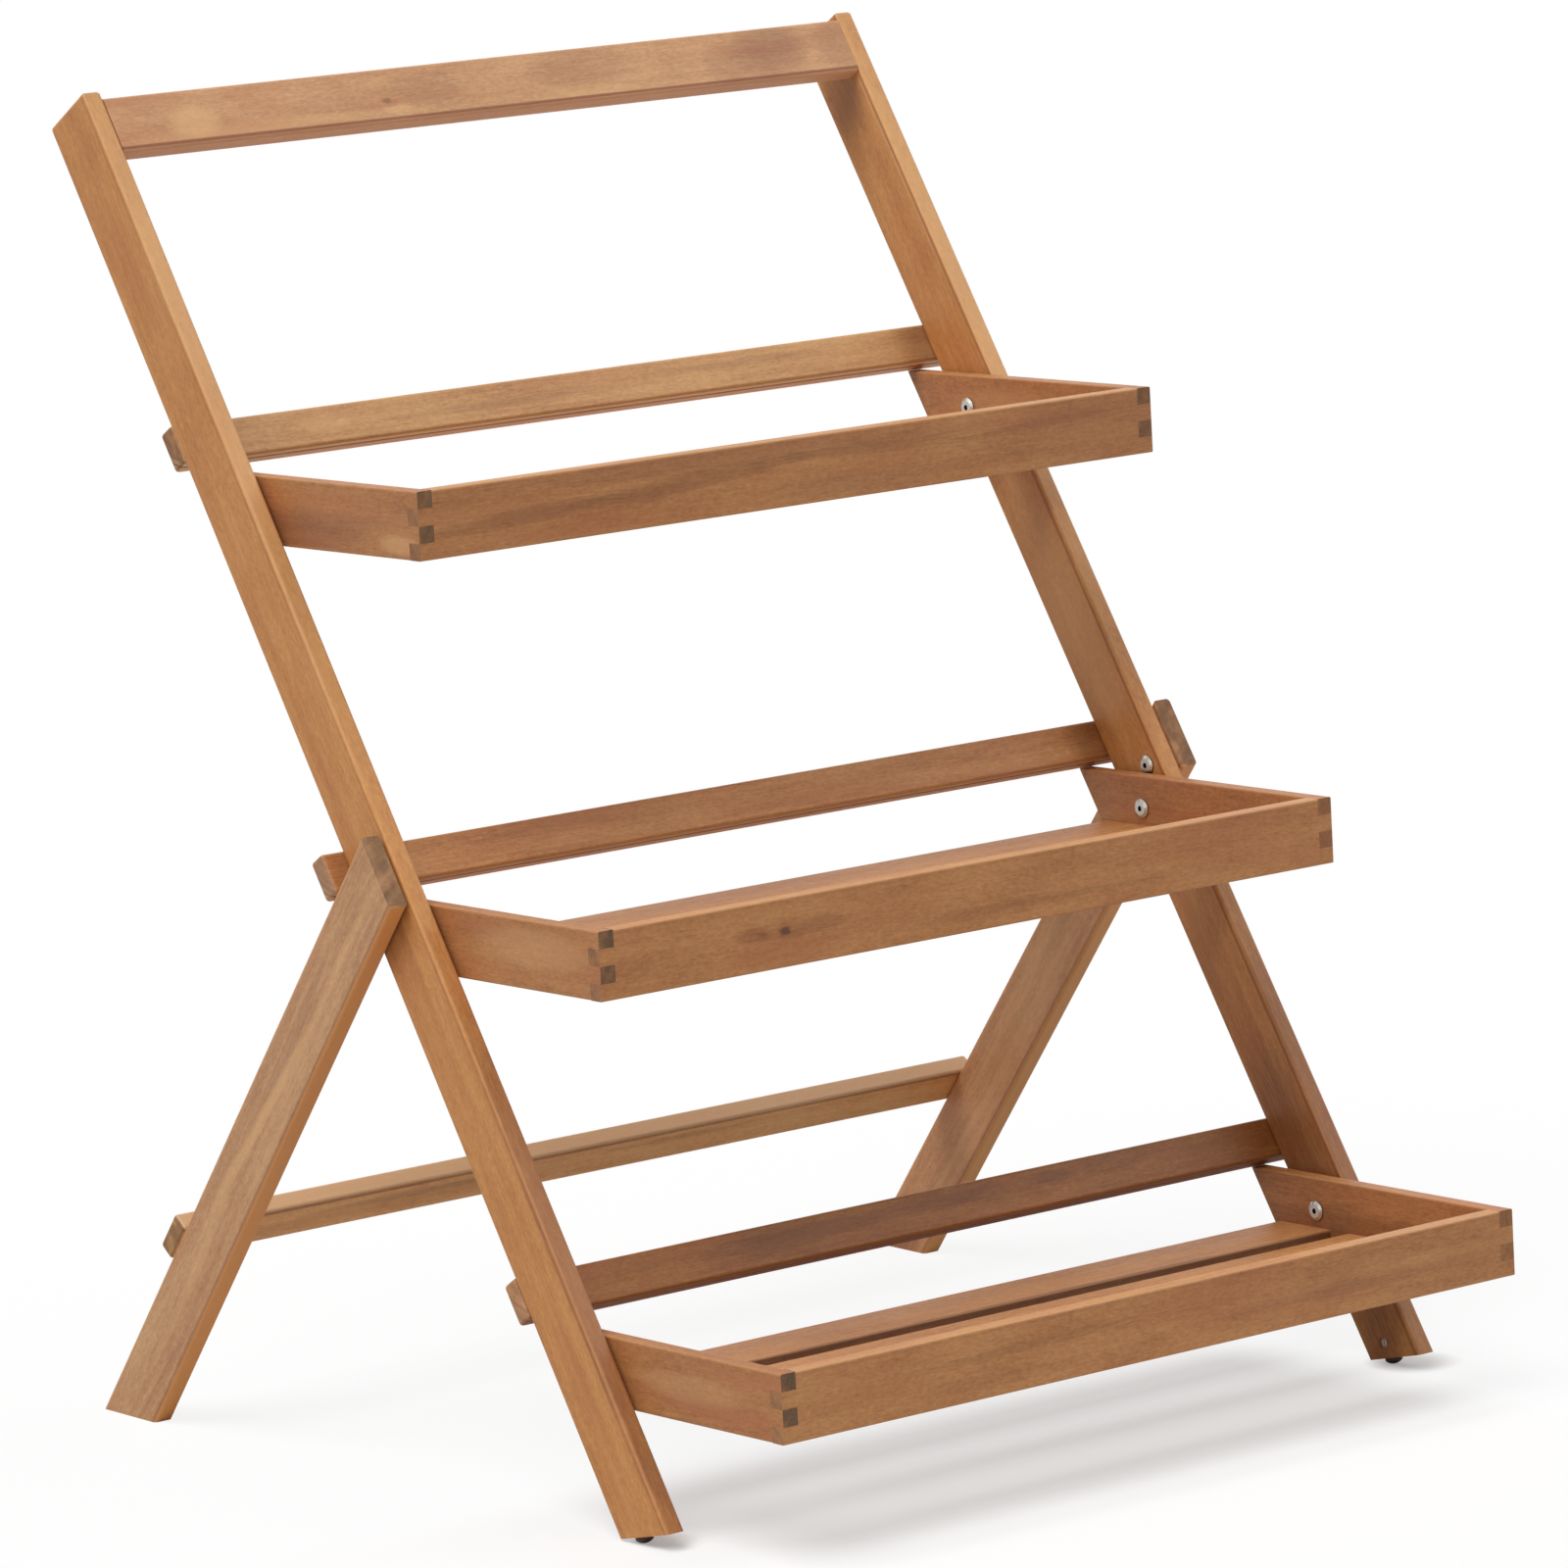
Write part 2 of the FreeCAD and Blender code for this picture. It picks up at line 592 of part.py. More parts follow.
def make_screw():
    # Countersunk head flush with the top, a plain shank and a tapered point
    shank = "screw_diameter / 2"
    body = turned("wood_screw", [("0", "0 - screw_length"), (shank, "screw_tip - screw_length"),
                                 (shank, "0 - countersink"), ("screw_head / 2", "0"), ("0", "0")])
    recess = new_sketch(body, "screw_recess", "XY_Plane")
    tip = "cross_length / 2"
    side = "cross_width / 2"
    quarter = [(tip, side), (side, side), (side, tip)]
    corners = quarter + [("0 - " + across, along) for across, along in reversed(quarter)]
    corners += [("0 - " + across, "0 - " + along) for across, along in quarter]
    corners += [(across, "0 - " + along) for across, along in reversed(quarter)]
    outline(recess, corners)
    cut(body, recess, "cross_depth")
    return body


def make_foot():
    # Rounded pad below the stile's end, and a stud up into the barrel nut
    body = new_body("foot_master")
    profile = new_sketch(body, "foot_profile", "XZ_Plane")
    pad_radius = "foot_diameter / 2"
    stud_radius = "bolt_diameter / 2"
    corners = [("0", "stud_length"), (stud_radius, "stud_length"), (stud_radius, "0"),
               (pad_radius, "0"), (pad_radius, "0 - foot_side")]
    points = [Vector(number(across), number(along), 0) for across, along in corners]
    tip = Vector(0, -number("foot_tip"), 0)
    for index, (start, end) in enumerate(zip(points, points[1:])):
        profile.addGeometry(Part.LineSegment(start, end), False)
        fix_point(profile, index, 1, *corners[index])
        if index > 0:
            profile.addConstraint(Sketcher.Constraint("Coincident", index - 1, 2, index, 1))
    rim = index
    fix_point(profile, rim, 2, *corners[-1])
    ball = Part.Circle(Vector(0, -number("dome_middle"), 0), Vector(0, 0, 1), number("foot_dome"))
    arc = Part.ArcOfCircle(ball, ball.parameter(tip), ball.parameter(points[-1]))
    dome = profile.addGeometry(arc, False)
    axis = profile.addGeometry(Part.LineSegment(tip, points[0]), False)
    fix_point(profile, dome, 3, "0", "0 - dome_middle")
    profile.addConstraint(Sketcher.Constraint("Coincident", dome, 2, rim, 2))
    profile.addConstraint(Sketcher.Constraint("PointOnObject", dome, 1, -2))
    profile.addConstraint(Sketcher.Constraint("Coincident", axis, 1, dome, 1))
    profile.addConstraint(Sketcher.Constraint("Coincident", axis, 2, 0, 1))
    revolve(body, profile)
    return body


def make_barrel_nut():
    # Short rod with a cross hole for the foot's stud and a slot in its visible end
    body = new_body("barrel_master")
    rod = new_sketch(body, "barrel_rod", "XY_Plane", "0 - barrel_length / 2")
    circle(rod, "0", "0", "barrel_diameter")
    pad(body, rod, "barrel_length")
    hole = new_sketch(body, "barrel_hole", "XZ_Plane", "0 - barrel_diameter")
    circle(hole, "0", "0", "bolt_diameter")
    cut(body, hole, reverse=True)
    slot = new_sketch(body, "barrel_slot", "XZ_Plane", "0 - barrel_diameter")
    rectangle(slot, "0 - barrel_slot / 2", "barrel_slot / 2",
              "barrel_length / 2 - barrel_slot", "barrel_length / 2 + barrel_slot")
    cut(body, slot, reverse=True)
    return body


def rail_screw_places():
    places = []
    for level in range(len(tray_names)):
        for along in screw_heights(f"{bolt_along(level)} + rail_rise", "rail_height"):
            for side in (-1, 1):
                across = side * number("frame_width / 2 - board_thick / 2")
                spot = Vector(across, number("rail_back"), number(along))
                places.append(frame_place().multiply(Placement(spot, facing(0, 1, 0))))
    return places


def crossbar_screw_places():
    places = []
    for along in screw_heights("crossbar_low", "crossbar_height"):
        for side in (-1, 1):
            across = side * number("leg_outer - board_thick / 2")
            spot = Vector(across, number("crossbar_back"), number(along))
            places.append(leg_place().multiply(Placement(spot, facing(0, 1, 0))))
    return places


def tray_places(across, outward):
    # One place on each side of every tray, with the piece's upper end outward or inward
    places = []
    for level in range(len(tray_names)):
        for side in (-1, 1):
            spot = Placement(Vector(side * number(across), 0, 0), facing(side * outward, 0, 0))
            places.append(tray_place(level).multiply(spot))
    return places


def leg_places(across, outward):
    places = []
    for side in (-1, 1):
        spot = Placement(Vector(side * number(across), 0, 0), facing(side * outward, 0, 0))
        places.append(leg_place().multiply(spot))
    return places


def foot_places():
    tilt = Rotation(Vector(1, 0, 0), number("end_angle"))
    places = []
    for side in (-1, 1):
        across = side * number("stile_inner + board_thick / 2")
        spot = Vector(across, number("foot_inset"), number("foot_along"))
        places.append(frame_place().multiply(Placement(spot, tilt)))
    return places


def barrel_places():
    tilt = Rotation(Vector(1, 0, 0), number("end_angle"))
    places = []
    for side in (-1, 1):
        inward = Rotation(Vector(0, -side, 0), Vector(0, 0, 1), Vector(-side, 0, 0), "ZXY")
        across = side * number("stile_inner + board_thick / 2")
        spot = Vector(across, number("nut_inset"), number("nut_along"))
        places.append(frame_place().multiply(Placement(spot, tilt.multiply(inward))))
    return places


def top_rail_dowel_places():
    places = []
    for step in ("- rail_dowel_pitch / 2", "+ rail_dowel_pitch / 2"):
        for side in (-1, 1):
            start = side * number("stile_inner + rail_dowel_in")
            spot = Vector(start, number("top_rail_axis"), number("top_rail_middle " + step))
            places.append(frame_place().multiply(Placement(spot, facing(-side, 0, 0))))
    return places


def slat_dowel_places(level):
    places = []
    for index in range(int(number("slat_count"))):
        for side in (-1, 1):
            start = side * number("tray_inner + slat_dowel_in")
            back = number(f"{slat_front(index)} + slat_width / 2")
            spot = Vector(start, back, number("slat_middle_height"))
            places.append(tray_place(level).multiply(Placement(spot, facing(-side, 0, 0))))
    return places


def make_dowel(name, diameter, length):
    item = doc.addObject("Part::Cylinder", name)
    bind(item, "Radius", f"{diameter} / 2")
    bind(item, "Height", length)
    doc.recompute()
    return item


# The whole shelf
pieces = make_stile() + [make_top_rail()] + make_leg() + [make_crossbar()]
screw = make_screw()
slat_dowel = make_dowel("slat_dowel", "slat_dowel_diameter", "slat_dowel_length")
for level, tray in enumerate(tray_names):
    pieces.append(make_back_rail(level))
    pieces.append(make_tray_front(level))
    pieces += make_tray_side(level)
    pieces += [make_slat(level, index) for index in range(int(number("slat_count")))]
    pieces.append(group(f"tray_{tray}_slat_dowels", slat_dowel, slat_dowel_places(level)))

rail_dowel = make_dowel("rail_dowel", "rail_dowel_diameter", "rail_dowel_length")
pieces.append(group("top_rail_dowels", rail_dowel, top_rail_dowel_places()))
pieces.append(group("back_rail_screws", screw, rail_screw_places()))
pieces.append(group("crossbar_screws", screw, crossbar_screw_places()))

tray_bolt = make_bolt("tray_bolt", "tray_bolt_length")
leg_bolt = make_bolt("leg_bolt", "leg_bolt_length")
insert = ring("threaded_insert", "insert_diameter", "bolt_diameter", "insert_length")
tray_spacer = ring("tray_spacer", "tray_spacer_diameter", "turning_bore", "tray_gap - bolt_play")
leg_spacer = ring("leg_spacer", "leg_spacer_diameter", "turning_bore", "leg_gap - bolt_play")
pieces.append(group("tray_pivot_bolts", tray_bolt, tray_places("tray_inner - bolt_play", -1)))
pieces.append(group("tray_threaded_inserts", insert, tray_places("stile_inner", 1)))
pieces.append(group("tray_spacers", tray_spacer, tray_places("stile_inner", -1)))
pieces.append(group("leg_pivot_bolts", leg_bolt, leg_places("stile_inner - bolt_play", -1)))
pieces.append(group("leg_threaded_inserts", insert, leg_places("leg_inner", 1)))
pieces.append(group("leg_spacers", leg_spacer, leg_places("leg_inner", -1)))
pieces.append(group("foot_glides", make_foot(), foot_places()))
pieces.append(group("foot_barrel_nuts", make_barrel_nut(), barrel_places()))
doc.recompute()

for item in doc.Objects:
    if "Invalid" in item.State or "Error" in item.State:
        raise RuntimeError(item.Name + " failed to build")
for piece in pieces:
    if piece.Shape.isNull() or not piece.Shape.isValid():
        raise RuntimeError(piece.Label + " has no valid shape")

os.makedirs("parts", exist_ok=True)
for piece in pieces:
    piece.Shape.exportStep(f"parts/{piece.Label}.step")
    box = piece.Shape.optimalBoundingBox(False)
    print(piece.Label, len(piece.Shape.Solids), round(piece.Shape.Volume), box)
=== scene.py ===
import json
from math import cos, radians, sin

import bpy
from mathutils import Matrix, Vector

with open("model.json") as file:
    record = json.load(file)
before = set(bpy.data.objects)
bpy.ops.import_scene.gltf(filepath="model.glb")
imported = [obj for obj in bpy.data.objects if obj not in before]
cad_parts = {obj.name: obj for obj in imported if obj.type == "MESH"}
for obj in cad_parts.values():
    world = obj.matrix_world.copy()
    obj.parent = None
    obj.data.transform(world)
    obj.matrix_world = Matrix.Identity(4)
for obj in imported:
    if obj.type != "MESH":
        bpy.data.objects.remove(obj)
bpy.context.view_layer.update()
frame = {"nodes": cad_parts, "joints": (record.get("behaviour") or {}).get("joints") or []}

nodes = frame["nodes"]
tiers = ("top", "middle", "bottom")


# Shader helpers

class Wire:  # one socket, so that shader maths reads as Python
    def __init__(self, finish, socket):
        self.finish = finish
        self.socket = socket

    def maths(self, operation, left, right):
        return self.finish.node("Math", {"operation": operation}, {0: left, 1: right})

    def __add__(self, other):
        return self.maths("ADD", self, other)

    def __sub__(self, other):
        return self.maths("SUBTRACT", self, other)

    def __rsub__(self, other):
        return self.maths("SUBTRACT", other, self)

    def __mul__(self, other):
        return self.maths("MULTIPLY", self, other)

    def __truediv__(self, other):
        return self.maths("DIVIDE", self, other)

    __radd__ = __add__
    __rmul__ = __mul__


class Finish:  # the node tree of one material or of the world
    def __init__(self, owner):
        owner.use_nodes = True
        self.owner = owner
        self.tree = owner.node_tree
        self.tree.nodes.clear()

    def node(self, kind, settings=None, sockets=None, output=0):
        made = self.tree.nodes.new("ShaderNode" + kind)
        for key, value in (settings or {}).items():
            if key == "stops":
                self.setStops(made.color_ramp, value)
            else:
                setattr(made, key, value)
        for key, value in (sockets or {}).items():
            if isinstance(value, Wire):
                self.tree.links.new(value.socket, made.inputs[key])
            else:
                made.inputs[key].default_value = value
        return Wire(self, made.outputs[output]) if made.outputs else made

    def setStops(self, ramp, stops):
        while len(ramp.elements) < len(stops):
            ramp.elements.new(0.5)
        for element, (place, colour) in zip(ramp.elements, stops):
            element.position = place
            element.color = colour

    def single(self, operation, value):
        return self.node("Math", {"operation": operation}, {0: value})

    def grade(self, value, start, end):  # 0 at start, 1 at end, eased between
        ends = {"Value": value, "From Min": start, "From Max": end}
        return self.node("MapRange", {"interpolation_type": "SMOOTHSTEP"}, ends)

    def noise(self, point, detail=2.0, rough=0.5):
        sockets = {"Vector": point, "Scale": 1.0, "Detail": detail, "Roughness": rough}
        return self.node("TexNoise", {}, sockets)

    def point(self, x, y, z):
        return self.node("CombineXYZ", {}, {0: x, 1: y, 2: z})

    def dot(self, vector, axis):
        return self.node("VectorMath", {"operation": "DOT_PRODUCT"}, {0: vector, 1: axis}, "Value")

    def scaled(self, vector, factor):
        return self.node("VectorMath", {"operation": "SCALE"}, {0: vector, "Scale": factor})

    def larger(self, left, right):
        return self.node("Math", {"operation": "MAXIMUM"}, {0: left, 1: right})

    def blend(self, share, under, over):
        return self.node("Mix", {"data_type": "RGBA"}, {0: share, 6: under, 7: over}, 2)

    def surface(self, shader):
        self.node("OutputMaterial", {}, {"Surface": shader})
        return self.owner


def tone(red, green, blue):  # a screen colour of 0 to 255, as the linear one that a socket takes
    def linear(level):
        share = level / 255
        return share / 12.92 if share <= 0.04045 else ((share + 0.055) / 1.055) ** 2.4
    return (linear(red), linear(green), linear(blue), 1.0)


def wear(nodeName, material):
    for slot in nodes[nodeName].material_slots:
        slot.material = material


# The boards' directions

across = Vector((1, 0, 0))
pivots = {joint["child"]: Vector(joint["pos_m"]) for joint in frame["joints"]}
stileUp = (pivots["tray_top"] - pivots["tray_bottom"]).normalized()
stileBack = across.cross(stileUp) * -1
legLean = 38.3  # degrees from upright, as in the part's source
legUp = Vector((0, -sin(radians(legLean)), cos(radians(legLean))))
legBack = across.cross(legUp) * -1
trayTip = 0.8  # degrees from level, as in the part's source
trayUp = Vector((0, sin(radians(trayTip)), cos(radians(trayTip))))
trayBack = across.cross(trayUp) * -1

# along the grain, across the broad face, through the thickness
stileAxes = (stileUp, stileBack, across)
legAxes = (legUp, legBack, across)
railAxes = (across, stileUp, stileBack)
crossbarAxes = (across, legUp, legBack)
frontAxes = (across, trayUp, trayBack)
sideAxes = (trayBack, trayUp, across)
slatAxes = (across, trayBack, trayUp)
mm = 1000  # millimetres in a metre; the wood is worked out in millimetres


def measureBoard(nodeName, axes):
    middle = []
    halves = []
    for axis in axes:
        reach = [axis.dot(vertex.co) * mm for vertex in nodes[nodeName].data.vertices]
        middle.append((min(reach) + max(reach)) / 2)
        halves.append((max(reach) - min(reach)) / 2)
    return middle, halves


# Oiled wood: one look for all boards, which each board varies

oiledWood = {
    "pale": tone(217, 162, 104),
    "honey": tone(197, 136, 80),
    "brown": tone(163, 102, 56),
    "red": tone(176, 103, 66),
    "umber": tone(104, 62, 38),
    "endPale": tone(146, 110, 82),
    "endDark": tone(92, 66, 50),
    "pith": (40, -70),  # mm from the board's middle, across and through
    "layer": 7.0,  # mm from one growth layer to the next
    "bend": 14.0,  # mm that the grain wanders
    "layerDepth": 0.4,
    "cloudDepth": 0.55,
    "fibreDepth": 0.36,
    "mottleDepth": 0.42,
    "speckDepth": 0.7,
    "redness": 0.4,
    "endDepth": 0.85,
    "edge": 2.4,  # mm of paler wood beside an eased edge: sanding wear and a painted highlight
    "edgeDepth": 0.3,
    "seam": 0.0,  # depth of the painted shade line where an eased edge begins
    "seamTone": tone(124, 58, 24),
    "seamSide": -1,  # -1 for the lower or front edge, 1 for the upper one
    "seamAt": 2.9,  # mm from that edge; below 0 it lies round the corner, under the board
    "wrap": 0,  # 1 where the line is measured on round the corner
    "under": 0.0,  # share of painted light, in a tone near the face's, that goes on round the corner onto the underside
    "underTone": tone(250, 214, 156),
    "lip": 0.0,  # share of a painted band beyond that line: painted light on most boards, painted shade on the crossbar's top
    "lipTone": tone(214, 150, 106),
    "rough": 0.5,
    "relief": 0.3,
    "reliefHeight": 0.0003,  # m
    "seed": 1,
    "marks": (),
    "knots": (),
}
grain = {  # turns in a millimetre along the board and across it, then the noise's detail and roughness
    "layers": (0.002, 1.0, 3.0, 0.6),  # across, in turns in a growth layer
    "wander": (0.004, 0.014, 2.0, 0.5),
    "ripple": (0.018, 0.06, 2.0, 0.5),
    "fibres": (0.035, 0.8, 3.0, 0.6),
    "clouds": (0.011, 0.035, 3.0, 0.5),
    "mottle": (0.1, 0.22, 3.0, 0.6),
    "specks": (0.2, 0.5, 2.0, 0.7),
    "pores": (0.11, 2.4, 1.0, 0.5),
    "redness": (0.006, 0.05, 2.0, 0.5),
    "endPores": (0.2, 1.5, 3.0, 0.7),
}
fade = {  # where a mask begins and where it is full
    "pores": (0.62, 0.74),
    "redness": (0.45, 0.75),
    "mark": (1.1, 0.0),  # in half sizes of the mark
    "knotBend": (3.5, 0.4),  # in sizes of the knot, as the next two
    "knotHalo": (2.2, 0.6),
    "knotCore": (0.9, 0.35),
    "under": (0.0, -2.0),  # mm, as the next three; the first three place the painted light under an edge, the painted band and the painted shade line
    "lip": (-0.5, -1.7),
    "seam": (1.8, 0.6),
    "farFace": (-0.5, -2.0),
    "endFace": (0.5, 0.8),  # how far a face looks along the grain
    "endTone": (0.35, 0.65),
    "endPatch": (0.25, 0.6),
}
cut = {  # what all boards share
    "seedStep": 173.0,  # mm along the plank from one board to the next
    "ripple": 5.0,  # mm that the grain sways in short waves
    "mottleSlant": 1 / 11,
    "redShift": 180.0,  # mm, so that the red parts don't follow the other patterns
    "knotLong": 1.5,  # a knot's length to its height
    "knotPush": 0.9,  # share of its size that a knot pushes the grain aside
    "haloDepth": 0.4,
    "coreRagged": 0.6,
    "markRagged": 0.9,
    "poreDepth": 0.2,
    "rubRagged": 2.0,  # mm; how ragged that paler band of wear and painted highlight is
    "rubFull": 0.3,  # mm from the edge
    "seamRagged": 0.9,  # mm; how ragged the painted shade line is
    "endPatch": (0.07, 0.09),  # turns in a millimetre over an end
    "endMix": 0.6,  # share of pores in an end's tone; the rest is growth layers
    "tones": (0.12, 0.5, 0.88),  # levels of the brown, honey and pale wood
}
gloss = {"fibres": 0.2, "pores": 0.12, "ends": 0.22, "rubbed": 0.08}  # what each does to the roughness
ridges = {"fibres": 0.6, "pores": 0.9, "layers": 0.3}  # heights in the relief


def oilBoard(nodeName, axes, look):
    middle, halves = measureBoard(nodeName, axes)
    finish = Finish(bpy.data.materials.new("oiled_" + nodeName))
    place = finish.node("TexCoord", output="Object")
    facing = finish.node("TexCoord", output="Normal")
    u, v, w = [finish.dot(place, axis) * mm - mid for axis, mid in zip(axes, middle)]
    shift = cut["seedStep"] * look["seed"]  # no two boards are cut from the same spot
    grainU = u + shift

    def pattern(name, along=grainU, aside=v, through=w):
        length, width, detail, rough = grain[name]
        return finish.noise(finish.point(along * length, aside * width, through * width), detail, rough)

    def mask(name, value):
        return finish.grade(value, *fade[name])

    # the grain's slow wander, which also goes round a knot
    sway = (pattern("wander") - 0.5) * look["bend"] + (pattern("ripple") - 0.5) * cut["ripple"]
    knotMasks = []
    for knot in look["knots"]:
        offU = (u - knot["at"][0]) / (cut["knotLong"] * knot["size"])
        offV = (v - knot["at"][1]) / knot["size"]
        away = finish.single("SQRT", offU * offU + offV * offV)
        sway = sway + mask("knotBend", away) * knot["size"] * cut["knotPush"]
        knotMasks.append((away, knot["depth"]))

    # growth layers round the pith, fibres along the board, and slow clouds of tone
    pithV, pithW = look["pith"]
    fromPith = finish.single("SQRT", (v - pithV) * (v - pithV) + (w - pithW) * (w - pithW)) + sway
    drift, turns, detail, layerRough = grain["layers"]
    layers = finish.node("TexNoise", {"noise_dimensions": "2D"}, {
        "Vector": finish.point(fromPith * turns / look["layer"], grainU * drift, 0),
        "Scale": 1.0, "Detail": detail, "Roughness": layerRough})
    fibres = pattern("fibres", aside=v + sway)
    clouds = pattern("clouds")
    mottle = pattern("mottle", aside=v + grainU * cut["mottleSlant"])
    specks = pattern("specks")
    pores = mask("pores", pattern("pores"))

    level = ((layers - 0.5) * look["layerDepth"] + (clouds - 0.5) * look["cloudDepth"]
             + (fibres - 0.5) * look["fibreDepth"] + (mottle - 0.5) * look["mottleDepth"]
             + (specks - 0.5) * look["speckDepth"] + 0.5)
    stops = tuple(zip(cut["tones"], (look["brown"], look["honey"], look["pale"])))
    colour = finish.node("ValToRGB", {"stops": stops}, {"Fac": level})
    redShare = mask("redness", pattern("redness", through=w + cut["redShift"]))
    colour = finish.blend(redShare * look["redness"], colour, look["red"])

    # marks that this board shows: streaks, blotches and pale patches
    for spot in look["marks"]:
        fromU = u - spot["at"][0]
        fromV = v - spot["at"][1] - fromU * spot["slope"] + sway
        offU = fromU / (spot["size"][0] / 2)
        offV = fromV / (spot["size"][1] / 2)
        inside = mask("mark", offU * offU + offV * offV + (fibres - 0.5) * cut["markRagged"])
        colour = finish.blend(inside * spot["depth"], colour, spot["tone"])
    for away, depth in knotMasks:
        halo = mask("knotHalo", away) * cut["haloDepth"]
        core = mask("knotCore", away + (specks - 0.5) * cut["coreRagged"])
        colour = finish.blend(halo * depth, colour, look["brown"])
        colour = finish.blend(core * depth, colour, look["umber"])
    colour = finish.blend(pores * cut["poreDepth"], colour, look["umber"])

    # eased edges are paler, from sanding wear and a painted highlight; beside one of them can go a painted
    # shade line, with bands of painted light and shade next to it
    edgeV = halves[1] - finish.single("ABSOLUTE", v)
    edgeW = halves[2] - finish.single("ABSOLUTE", w)
    fromEdge = finish.larger(edgeV, edgeW)
    rubbed = finish.grade(fromEdge + (clouds - 0.5) * cut["rubRagged"], look["edge"], cut["rubFull"])
    colour = finish.blend(rubbed * look["edgeDepth"], colour, look["pale"])
    if look["seam"]:
        nearFace = mask("farFace", w * look["wrap"] - halves[2])  # keeps off the far face
        insideEdge = halves[1] - v * look["seamSide"] - (w + halves[2]) * look["wrap"]
        under = mask("under", insideEdge) * nearFace
        colour = finish.blend(under * look["under"], colour, look["underTone"])
        fromLine = insideEdge - look["seamAt"]
        lip = mask("lip", fromLine) * nearFace
        colour = finish.blend(lip * look["lip"], colour, look["lipTone"])
        beside = finish.single("ABSOLUTE", fromLine) + (clouds - 0.5) * cut["seamRagged"]
        line = mask("seam", beside) * nearFace
        colour = finish.blend(line * look["seam"], colour, look["seamTone"])

    # end grain drinks the oil
    endFace = mask("endFace", finish.single("ABSOLUTE", finish.dot(facing, axes[0])))
    endPores = pattern("endPores", along=u)
    endShare = mask("endTone", endPores * cut["endMix"] + layers * (1 - cut["endMix"]))
    endColour = finish.blend(endShare, look["endDark"], look["endPale"])
    patchV, patchW = cut["endPatch"]
    patches = finish.noise(finish.point(shift, v * patchV, w * patchW), 1.0)
    endDepth = (mask("endPatch", patches) + 1) * (look["endDepth"] / 2)
    colour = finish.blend(endFace * endDepth, colour, endColour)

    rough = ((0.5 - fibres) * gloss["fibres"] + pores * gloss["pores"] + endFace * gloss["ends"]
             - rubbed * gloss["rubbed"] + look["rough"])
    height = (fibres * ridges["fibres"] - pores * ridges["pores"] + layers * ridges["layers"]
              + endPores * endFace)
    relief = finish.node("Bump", {}, {
        "Strength": look["relief"], "Distance": look["reliefHeight"], "Height": height})
    shader = finish.node("BsdfPrincipled", {}, {
        "Base Color": colour, "Roughness": rough, "Normal": relief, "Specular IOR Level": 0.5})
    wear(nodeName, finish.surface(shader))


def vary(look, **changes):
    return {**look, **changes}


def mark(u, v, length, height, depth, colour, slope=0.0):
    return {"at": (u, v), "size": (length, height), "depth": depth, "tone": colour, "slope": slope}


dusky = tone(128, 80, 58)  # purplish brown of a blotch, also the painted shade low on the stiles' front edges
dark = tone(118, 72, 40)  # a streak in the grain
light = tone(232, 184, 128)  # a pale patch, also the painted sheen high on the stiles' front edges
ruddy = tone(176, 98, 56)
# deep brown for streaks and patches, and for painted shade on the right stile, by the rail ends and on the
# slats' front edges
umbered = tone(92, 46, 24)
russet = tone(126, 66, 36)  # beside a knot
firstSeed = {  # the first board of each kind; the rest follow it along the plank
    "stile": 3, "backRail": 31, "leg": 41, "front": 51, "leftSide": 61, "rightSide": 71,
    "slat": 80, "tray": 10, "slatDowels": 120, "topDowels": 130}


# Leaning frame

stileLook = vary(
    oiledWood, pale=tone(217, 159, 96), honey=tone(198, 135, 74), brown=tone(167, 105, 54),
    layer=9.0, pith=(90, 30), redness=0.26, seamTone=tone(140, 80, 36))
paleNose = mark(330, -27, 700, 13, 0.5, light)  # the front edge: painted sheen above, painted shade below
dullNose = mark(-400, -27, 560, 13, 0.55, dusky)
# painted shade lines along the stiles' front edges, stronger on the right
stileSeams = {"left": 0.3, "right": 0.6}
stileMarks = {
    "left": (paleNose, dullNose, mark(470, 6, 120, 40, 0.2, ruddy), mark(120, 8, 300, 26, 0.12, ruddy)),
    # the right stile's deep brown patches, low down by the bottom tray and high by the top rail, are
    # painted shade
    "right": (mark(-440, 6, 310, 80, 0.6, umbered), mark(65, 2, 260, 60, 0.35, light),
              mark(530, 4, 90, 60, 0.4, umbered), paleNose, dullNose),
}
# a painted shade line along the top rail's lower edge, painted light on the band below it
topRailLook = vary(
    oiledWood, pale=tone(221, 173, 125), honey=tone(200, 149, 104), brown=tone(170, 116, 76), seed=21,
    cloudDepth=0.7, seam=0.8, lip=0.6, lipTone=tone(230, 172, 130), endDepth=0.15,
    knots=({"at": (-101, -5), "size": 3.8, "depth": 0.55},), marks=(
        mark(-278, -5, 56, 34, 0.5, light), mark(-94, -12, 34, 12, 0.4, light),
        mark(338, 2, 60, 60, 0.3, dusky), mark(270, 4, 90, 56, 0.5, dusky, 0.1),
        mark(222, -8, 50, 44, 0.28, dusky), mark(86, 4, 120, 40, 0.26, dusky),
        mark(-230, -14, 260, 18, 0.25, light), mark(85, -14, 100, 16, 0.3, light),
        mark(-62, 2, 80, 36, 0.26, dusky), mark(-215, 10, 90, 24, 0.2, ruddy)))
